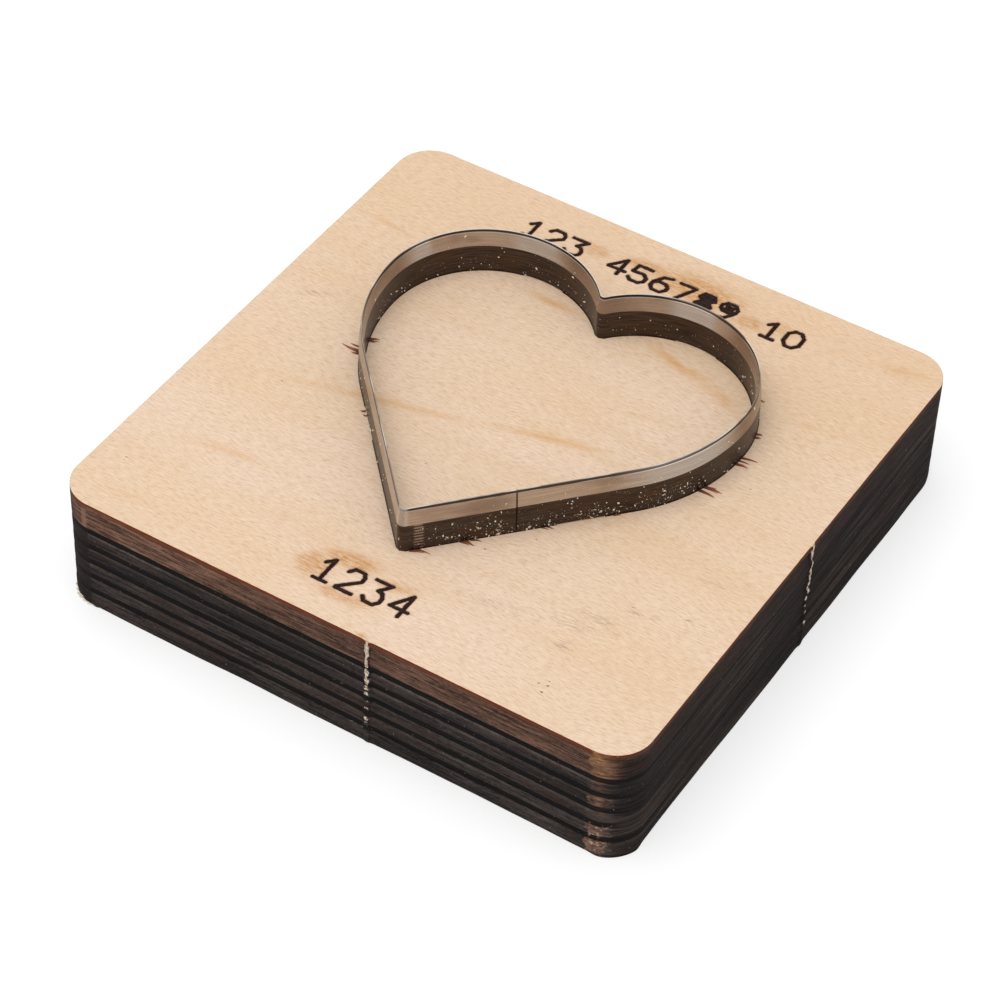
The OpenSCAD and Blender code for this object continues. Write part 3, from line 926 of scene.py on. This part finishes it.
def rule_finish(length):
    """Dark oxide on the faces, shaved bevels coloured partly as a painted reflection of the board, a
    tempered edge, and handling marks.
    """
    material, tree, shader, coords, parts = new_finish("oxide_rule_steel")
    along = attribute(tree, "along")
    strip = node(tree, "ShaderNodeCombineXYZ", {0: along, 1: parts[2]}).outputs[0]
    rolled = stretched_noise(tree, strip, (260, 5200, 0), 4, 0.65, seed=31.0)
    bloom = stretched_noise(tree, strip, (170, 420, 0), 3, 0.6, seed=32.0)
    shaved = stretched_noise(tree, strip, (120, 9000, 0), 3, 0.6, seed=33.0)
    speckle = stretched_noise(tree, strip, (3600, 3600, 0), 2, 0.6, seed=34.0)
    face = layered(
        tree, srgb(58, 50, 46),
        (rolled, (0.35, 0.7), srgb(92, 80, 72)),
        (bloom, (0.45, 0.75, 0.0, 0.5), srgb(92, 68, 50)),
    )
    # Painted reflections along the bevels: silver stretches stand for highlights, darker brown ones for
    # dimmer reflection.
    silver_reflection = stretches(tree, along, (10, 19, 24, 31, 1.0), (50.5, 52.5, 56, 59.5, 0.85),
                       (76, 78.5, 82, 85, 0.7), (94, 95.5, 96.5, 99, 0.9))
    darker_reflection = stretches(tree, along, (27, 32, 47, 51, 0.6), (59, 65, 74, 77, 0.6), (98, 101, 108, 118, 0.5))
    tarnish = stretched_noise(tree, strip, (75, 160, 0), 3, 0.6, seed=35.0)
    bevel = layered(
        tree, srgb(168, 152, 138),
        (shaved, (0.35, 0.7), srgb(198, 184, 172)),
        (bloom, (0.5, 0.8, 0.0, 0.4), srgb(150, 128, 110)),
        (tarnish, (0.46, 0.66, 0.0, 0.55), srgb(112, 90, 74)),
    )
    bevel = blend(tree, darker_reflection, bevel, srgb(116, 90, 72))
    bright_bevel = blend(tree, span(tree, shaved, 0.35, 0.7), srgb(180, 174, 170), srgb(212, 209, 206))
    bevel = blend(tree, silver_reflection, bevel, bright_bevel)
    bevel = blend(tree, span(tree, speckle, 0.68, 0.78, 0.0, 0.6), bevel, srgb(92, 80, 72))
    ragged_foot = calc(tree, "MULTIPLY_ADD", bloom, 0.10 * mm, -0.05 * mm)
    height = calc(tree, "ADD", parts[2], ragged_foot)
    on_bevel = span(tree, height, bevel_foot - 0.03 * mm, bevel_foot + 0.03 * mm)
    on_edge = span(tree, parts[2], bevel_head - 0.02 * mm, bevel_head + 0.03 * mm)
    colour = blend(tree, on_bevel, face, bevel)
    scored = span(tree, stretched_noise(tree, strip, (40, 9000, 0), 2, 0.6, seed=36.0), 0.46, 0.6)
    honed = blend(tree, product(tree, scored, calc(tree, "MULTIPLY_ADD", silver_reflection, 0.45, 0.05)),
                  srgb(52, 43, 41), srgb(176, 170, 166))
    colour = blend(tree, product(tree, on_edge, 0.95), colour, honed)
    # Painted glints: bright lines along the seam under the honed edge and along its crest.
    on_seam = between(tree, parts[2], bevel_head - 0.09 * mm, bevel_head - 0.03 * mm,
                      bevel_head + 0.04 * mm, bevel_head + 0.1 * mm)
    on_crest = span(tree, parts[2], rule_top - 0.12 * mm, rule_top - 0.06 * mm)
    glint = span(tree, stretched_noise(tree, strip, (130, 0, 0), 2, 0.6, seed=37.0), 0.42, 0.6)
    glint = calc(tree, "MAXIMUM", glint, stretches(tree, along, (57, 59, 97, 100, 1.0)))
    seam_glint = product(tree, on_seam, calc(tree, "MAXIMUM", silver_reflection, product(tree, glint, 0.4)))
    crest_glint = product(tree, on_crest, calc(tree, "MAXIMUM", glint, 0.35))
    wear_and_glints = calc(tree, "MAXIMUM", seam_glint, crest_glint)
    colour = blend(tree, wear_and_glints, colour, srgb(250, 249, 248))
    past_point = calc(tree, "SUBTRACT", along, length - joint_along)
    at_bend = span(tree, calc(tree, "ABSOLUTE", past_point), 0.4 * mm, 1.0 * mm, 1.0, 0.0)
    colour = blend(tree, product(tree, at_bend, on_bevel, 0.6), colour, srgb(206, 202, 198))
    uneven_rib = calc(tree, "MULTIPLY_ADD", rolled, 0.22 * mm, parts[2])
    ribs = calc(tree, "SINE", product(tree, uneven_rib, 2 * math.pi / (0.46 * mm)))
    wandering = calc(tree, "MULTIPLY_ADD", bloom, 1.6 * mm, calc(tree, "SUBTRACT", past_point, 0.8 * mm))
    in_marks = between(tree, wandering, 1.2 * mm, 1.6 * mm, 2.3 * mm, 2.7 * mm)
    ridged = span(tree, calc(tree, "ADD", ribs, product(tree, rolled, 2.0)), 0.7, 1.9, 0.1, 0.8)
    pressed = product(tree, in_marks, ridged, calc(tree, "SUBTRACT", 1.0, on_bevel))
    colour = blend(tree, pressed, colour, srgb(168, 156, 146))
    to_joint = calc(tree, "MINIMUM", along, calc(tree, "SUBTRACT", length, along))
    stained = span(tree, to_joint, 0.03 * mm, 0.12 * mm, 0.95, 0.0)
    colour = blend(tree, stained, colour, srgb(46, 34, 28))
    satin = calc(tree, "MULTIPLY_ADD", silver_reflection, 0.3, 0.25)
    bright = calc(tree, "MAXIMUM", product(tree, on_bevel, satin), product(tree, wear_and_glints, 0.8))
    tree.links.new(calc(tree, "SUBTRACT", 1.0, bright), shader.inputs["Metallic"])
    polish = blend(tree, on_bevel, (0.36, 0.36, 0.36, 1), (0.22, 0.22, 0.22, 1))
    uneven = calc(tree, "MULTIPLY_ADD", rolled, 0.16, -0.06)
    roughness = calc(tree, "ADD", polish, uneven)
    finished(tree, shader, colour, roughness, calc(tree, "ADD", rolled, shaved), 0.35, 0.02 * mm)
    return material


strip_along = np.r_[joint_along + joint_gap / 2,
                    heart_along[heart_along > joint_along + 0.2 * mm],
                    heart_length + heart_along[1:][heart_along[1:] < joint_along - 0.2 * mm],
                    heart_length + joint_along - joint_gap / 2]
strip_path = heart_at(strip_along)
rule = mesh_object("cutting_rule_looks", np.c_[strip_path[:, :2], np.zeros(len(strip_path))],
                   [(k, k + 1) for k in range(len(strip_path) - 1)])
half_section = [(rule_t / 2, 0), (rule_t / 2, bevel_foot),
                (bevel_top_t / 2, bevel_head), (edge_flat / 2, rule_top)]
section_points = half_section + [(-across, height) for across, height in half_section[::-1]]
section = mesh_object("section", [(across, -height, 0) for across, height in section_points],
                      [(k, (k + 1) % len(section_points)) for k in range(len(section_points))])
notch_points, notch_faces = [], []
for station in heart_at(np.array(bridges)):
    out = Vector((station[2], station[3], 0))
    side = Vector((station[3], -station[2], 0)) * (bridge_w / 2 + notch_side_gap)
    first = len(notch_points)
    for z in (-1 * mm, board_top + notch_top_gap):
        for a, b in ((-1, -1), (1, -1), (1, 1), (-1, 1)):
            corner = Vector((station[0], station[1], z)) + side * a + out * (2 * kerf_w * b)
            notch_points.append(corner)
    for f in ((3, 2, 1, 0), (4, 5, 6, 7), (0, 1, 5, 4), (1, 2, 6, 5), (2, 3, 7, 6), (3, 0, 4, 7)):
        notch_faces.append([first + k for k in f])
notches = mesh_object("notches", notch_points, faces=notch_faces)
rule_steel = rule_finish(heart_length - joint_gap)
rule_mesh = shaped(rule, bent_rule_tree(), rule_steel, section=section, notches=notches)
for scratch in (section, notches):
    bpy.data.objects.remove(scratch)
rule_mesh.shade_smooth()
rule_mesh.set_sharp_from_angle(angle=rule_sharp_angle)
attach(rule, "root")
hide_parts("cutting_rule")

# Splinters: slivers of face veneer that the rule has torn up along the grain where it was driven in,
# scorched red-brown at the kerf and paler towards their tips. Bare slivers hang on at the broken corner.
sliver_rings = np.linspace(0, 1, 6)
sliver_points, sliver_faces = [], []
for u in sliver_rings:
    wide = 0.5 * (1 - u) ** 0.7 + 0.03
    bow = 0.35 * math.sin(2.2 * u)
    lift = 0.5 * u * u
    sliver_points += [(u, bow - wide, lift), (u, bow + wide, lift), (u, bow, lift + wide)]
for row in range(len(sliver_rings) - 1):
    base = 3 * row
    sliver_faces += [(base + k, base + 3 + k, base + 3 + (k + 1) % 3, base + (k + 1) % 3) for k in range(3)]
last = 3 * len(sliver_rings) - 3
sliver_faces += [(0, 1, 2), (last + 2, last + 1, last)]
sliver = mesh_object("sliver", sliver_points, faces=[face[::-1] for face in sliver_faces])
store(sliver.data, "tip", np.repeat(sliver_rings, 3))
# Groups at the kerf: place, side of the rule, count and length
splinter_groups = [
    ((-24.4, 0.6), "out", 3, 2.0), ((-23.0, 3.1), "in", 3, 1.5), ((1.4, -24.3), "out", 2, 2.2),
    ((5.5, -19.5), "out", 4, 1.5), ((11.4, -12.8), "out", 2, 1.3), ((17.4, -6.9), "out", 1, 1.1),
    ((24.6, 3.3), "out", 4, 2.4), ((25.4, 9.8), "out", 5, 1.9), ((24.8, 15.3), "out", 3, 1.0),
    ((22.1, 20.9), "out", 2, 1.1), ((-11.0, -12.3), "in", 2, 1.1), ((-16.5, -8.5), "out", 2, 0.9),
    ((-25.0, 12.0), "out", 2, 0.9), ((-14.5, -10.5), "in", 1, 0.8), ((-24.5, 0.9), "out", 2, 2.5),
]
# Slivers at the broken corner: angle round it, how far out, height and length
corner_slivers = [
    (218, 0.02, 0.05, 1.6), (228, 0.05, 0.06, 1.7), (236, 0.14, 0.05, 1.8), (243, 0.18, 0.04, 2.0),
    (252, 0.16, 0.05, 1.8), (261, 0.09, 0.04, 1.4), (240, 0.07, 0.26, 1.2),
]
splinter_w = 0.46 * mm
splinter_h = 0.18 * mm
corner_sliver_w = 0.22 * mm
corner_sliver_h = 0.34 * mm


def instanced(tree, points, shape, turn, size):
    """A shape put on each point, turned and sized there, as one mesh."""
    settings = {"Points": points, "Instance": shape, "Rotation": turn, "Scale": size}
    placed = node(tree, "GeometryNodeInstanceOnPoints", settings).outputs[0]
    return node(tree, "GeometryNodeRealizeInstances", {0: placed}).outputs[0]


def torn_splinters_tree():
    """Puts a sliver on each point, turned and sized as the point says."""
    tree, given = new_tree("torn_splinters", sliver="Object")
    shape = node(tree, "GeometryNodeObjectInfo", {"Object": given["sliver"]}).outputs["Geometry"]
    turn = kept_value(tree, "turn", "FLOAT_VECTOR")
    size = kept_value(tree, "size", "FLOAT_VECTOR")
    return ended(tree, instanced(tree, given["geometry"], shape, turn, size))


places, turns, sizes = [], [], []
chance = np.random.default_rng(7)
for (x, y), side, count, length in splinter_groups:
    middle = along_of(x * mm, y * mm)
    for station in heart_at(middle + chance.uniform(-0.9, 0.9, count) * mm):
        sign = 1 if side == "out" else -1
        root = station[:2] + sign * (kerf_w / 2 - 0.04 * mm) * station[2:]
        heading = 0.0 if sign * station[2] > 0 else math.pi
        long = length * mm * chance.uniform(0.55, 1.15)
        places.append((*root, board_top - 0.01 * mm))
        turns.append((0, 0, heading + math.radians(chance.uniform(-12, 16))))
        sizes.append((long, splinter_w * chance.uniform(0.6, 1.4), splinter_h))
pale = [0.0] * len(places)
for angle, proud, z, long in corner_slivers:
    turn = math.radians(angle)
    root = (corner_r + proud * mm) * np.array([math.cos(turn), math.sin(turn)]) - (half - corner_r)
    places.append((*root, z * mm))
    turns.append((0, 0, turn + math.radians(90 + 9 * long)))
    sizes.append((long * mm, corner_sliver_w, corner_sliver_h))
    pale.append(1.0)
splinters = mesh_object("splinters", places)
store(splinters.data, "pale", pale)
store(splinters.data, "turn", turns, "FLOAT_VECTOR")
store(splinters.data, "size", sizes, "FLOAT_VECTOR")
material, tree, shader, coords, parts = new_finish("scorched_splinter")
fibres = stretched_noise(tree, coords, (900, 9000, 9000), 2, 0.5, seed=41.0)
to_tip = attribute(tree, "tip")
colour = layered(
    tree, srgb(64, 28, 14),
    (to_tip, (0.0, 0.5), srgb(134, 70, 38)),
    (to_tip, (0.45, 1.0), srgb(190, 126, 82)),
    (fibres, (0.45, 0.7, 0.0, 0.5), srgb(104, 52, 28)),
)
bare = blend(tree, span(tree, fibres, 0.4, 0.65), srgb(252, 245, 234), srgb(226, 200, 172))
colour = blend(tree, attribute(tree, "pale"), colour, bare)
tree.links.new(colour, shader.inputs["Base Color"])
shader.inputs["Roughness"].default_value = 0.7
shaped(splinters, torn_splinters_tree(), material, sliver=sliver)
bpy.data.objects.remove(sliver)
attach(splinters, "root")

# Dust: crumbs of pale wood fibre that cling to the rule's oiled faces after the die has been driven
# and used. They lie thickest low on its front right face.
crumb_size = 0.066 * mm
crumbs_per_m2 = 1.0e7
full_turn = 6.3


def clinging_dust_tree():
    """Scatters crumbs over a mesh's faces and keeps those where dust would cling."""
    tree, given = new_tree("clinging_dust", density="Float", size="Float", seed="Int")
    strewn = node(tree, "GeometryNodeDistributePointsOnFaces", {
        "Mesh": given["geometry"], "Density": given["density"], "Seed": given["seed"]})
    place = node(tree, "GeometryNodeInputPosition").outputs[0]
    parts = node(tree, "ShaderNodeSeparateXYZ", {0: place}).outputs
    flat = node(tree, "ShaderNodeVectorMath", {0: place, 1: (1, 1, 0)}, operation="MULTIPLY").outputs[0]
    outward = node(tree, "ShaderNodeVectorMath", {0: flat, 1: strewn.outputs["Normal"]},
                   operation="DOT_PRODUCT").outputs["Value"]
    outside = span(tree, outward, -0.2 * mm, 0.2 * mm)
    inside_face = calc(tree, "SUBTRACT", 1.0, outside)
    front_right = product(tree, span(tree, parts[0], 0.5 * mm, 6 * mm, 0.25, 1.0),
                          span(tree, parts[1], 0 * mm, 12 * mm, 1.0, 0.15))
    back = span(tree, parts[1], 2 * mm, 14 * mm, 0.3, 1.0)
    share = calc(tree, "ADD", product(tree, outside, front_right), product(tree, inside_face, back, 0.3))
    low = span(tree, parts[2], board_top + 0.3 * mm, bevel_foot, 1.0, 0.2)
    clumps = span(tree, stretched_noise(tree, place, (420, 420, 900), 2, seed=42.0), 0.4, 0.62, 0.1, 1.0)
    above = calc(tree, "GREATER_THAN", parts[2], board_top + 0.06 * mm)
    below = calc(tree, "LESS_THAN", parts[2], bevel_head - 0.3 * mm)
    wanted = product(tree, share, low, clumps, above, below)
    luck = node(tree, "FunctionNodeRandomValue", {"Seed": 5}, data_type="FLOAT").outputs[1]
    unlucky = {"Geometry": strewn.outputs["Points"], "Selection": calc(tree, "GREATER_THAN", luck, wanted)}
    kept = node(tree, "GeometryNodeDeleteGeometry", unlucky, domain="POINT").outputs[0]
    crumb = {"Radius": given["size"], "Subdivisions": 1}
    ball = node(tree, "GeometryNodeMeshIcoSphere", crumb).outputs[0]
    turn = node(tree, "FunctionNodeRandomValue", {0: (0, 0, 0), 1: [full_turn] * 3, "Seed": 6},
                data_type="FLOAT_VECTOR").outputs[0]
    stretch = node(tree, "FunctionNodeRandomValue", {0: (0.5, 0.4, 0.6), 1: (1.0, 0.9, 2.0), "Seed": 7},
                   data_type="FLOAT_VECTOR").outputs[0]
    large = node(tree, "FunctionNodeRandomValue", {"Seed": 8}, data_type="FLOAT").outputs[1]
    grow = calc(tree, "MULTIPLY_ADD", calc(tree, "POWER", large, 6.0), 2.2, 0.5)
    return ended(tree, instanced(tree, kept, ball, turn, scaled(tree, stretch, grow)))


material, tree, shader, coords, parts = new_finish("pale_dust")
grey = stretched_noise(tree, coords, (3000, 3000, 3000), 2, seed=43.0)
colour = blend(tree, span(tree, grey, 0.35, 0.65), srgb(238, 230, 214), srgb(206, 188, 160))
tree.links.new(colour, shader.inputs["Base Color"])
shader.inputs["Roughness"].default_value = 0.9
dust = bpy.data.objects.new("dust", rule_mesh.copy())
bpy.context.scene.collection.objects.link(dust)
shaped(dust, clinging_dust_tree(), material, density=crumbs_per_m2, size=crumb_size, seed=4)
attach(dust, "root")

# The floor: a plain pale sheet of paper, matt and laid flat, that fills the view and takes the
# board's soft shadow. To the camera it is brightened, so that it shows as white as the room round it.
floor_half = 3.0
floor_grey = (0.5, 0.5, 0.5, 1)
floor_brightened = 0.58
floor_drop = 0.02 * mm
floor_corners = [(-1, -1), (1, -1), (1, 1), (-1, 1)]
floor = mesh_object("floor", [(x * floor_half, y * floor_half, 0) for x, y in floor_corners],
                    faces=[(0, 1, 2, 3)])
material, tree, shader, coords, parts = new_finish("pale_floor")
shader.inputs["Base Color"].default_value = floor_grey
shader.inputs["Roughness"].default_value = 0.9
seen = node(tree, "ShaderNodeLightPath").outputs["Is Camera Ray"]
shader.inputs["Emission Color"].default_value = (1, 1, 1, 1)
tree.links.new(product(tree, seen, floor_brightened), shader.inputs["Emission Strength"])
floor.data.materials.append(material)
floor.location.z = -floor_drop

# The studio: an even white room, dimmer as light on the board than as the camera sees it, and one
# large soft lamp overhead, a little to the front, as for a picture in a catalogue.
room_light = 0.62
room_seen = 1.0
world = bpy.data.worlds.new("studio")
bpy.context.scene.world = world
world.use_nodes = True
sky = world.node_tree.nodes["Background"]
sky.inputs["Color"].default_value = (1, 1, 1, 1)
seen = node(world.node_tree, "ShaderNodeLightPath").outputs["Is Camera Ray"]
strength = span(world.node_tree, seen, 0.0, 1.0, room_light, room_seen)
world.node_tree.links.new(strength, sky.inputs["Strength"])


def soft_lamp(name, place, aim, size, power):
    lamp = bpy.data.lights.new(name, "AREA")
    lamp.shape = "SQUARE"
    lamp.size = size
    lamp.energy = power
    made = bpy.data.objects.new(name, lamp)
    bpy.context.scene.collection.objects.link(made)
    made.location = place
    made.rotation_euler = (Vector(aim) - Vector(place)).to_track_quat("-Z", "Y").to_euler()


soft_lamp("overhead_lamp", place=(-0.04, -0.10, 0.60), aim=(0, 0, 0), size=0.5, power=1.8)

# The camera: a long lens at the photograph's angle, above the front right corner of the board and
# turned a little on its axis. Its place and lens were fitted to the photograph.
camera_lens = 126.78
sensor_w = 36.0
camera_place = (158.0 * mm, -270.7 * mm, 309.5 * mm)
camera_azimuth = math.radians(30.55)
camera_elevation = math.radians(44.21)
camera_roll = math.radians(2.35)
camera = bpy.data.objects.new("camera", bpy.data.cameras.new("camera"))
bpy.context.scene.collection.objects.link(camera)
camera.data.lens = camera_lens
camera.data.sensor_width = sensor_w
camera.data.clip_start = 0.01
back = Vector((
    math.sin(camera_azimuth) * math.cos(camera_elevation),
    -math.cos(camera_azimuth) * math.cos(camera_elevation),
    math.sin(camera_elevation),
))
level = (-back).to_track_quat("-Z", "Y").to_matrix()
rolled = level @ Matrix.Rotation(camera_roll, 3, "Z")
camera.matrix_world = Matrix.Translation(camera_place) @ rolled.to_4x4()
bpy.context.scene.camera = camera
bpy.context.scene.view_settings.view_transform = "Standard"
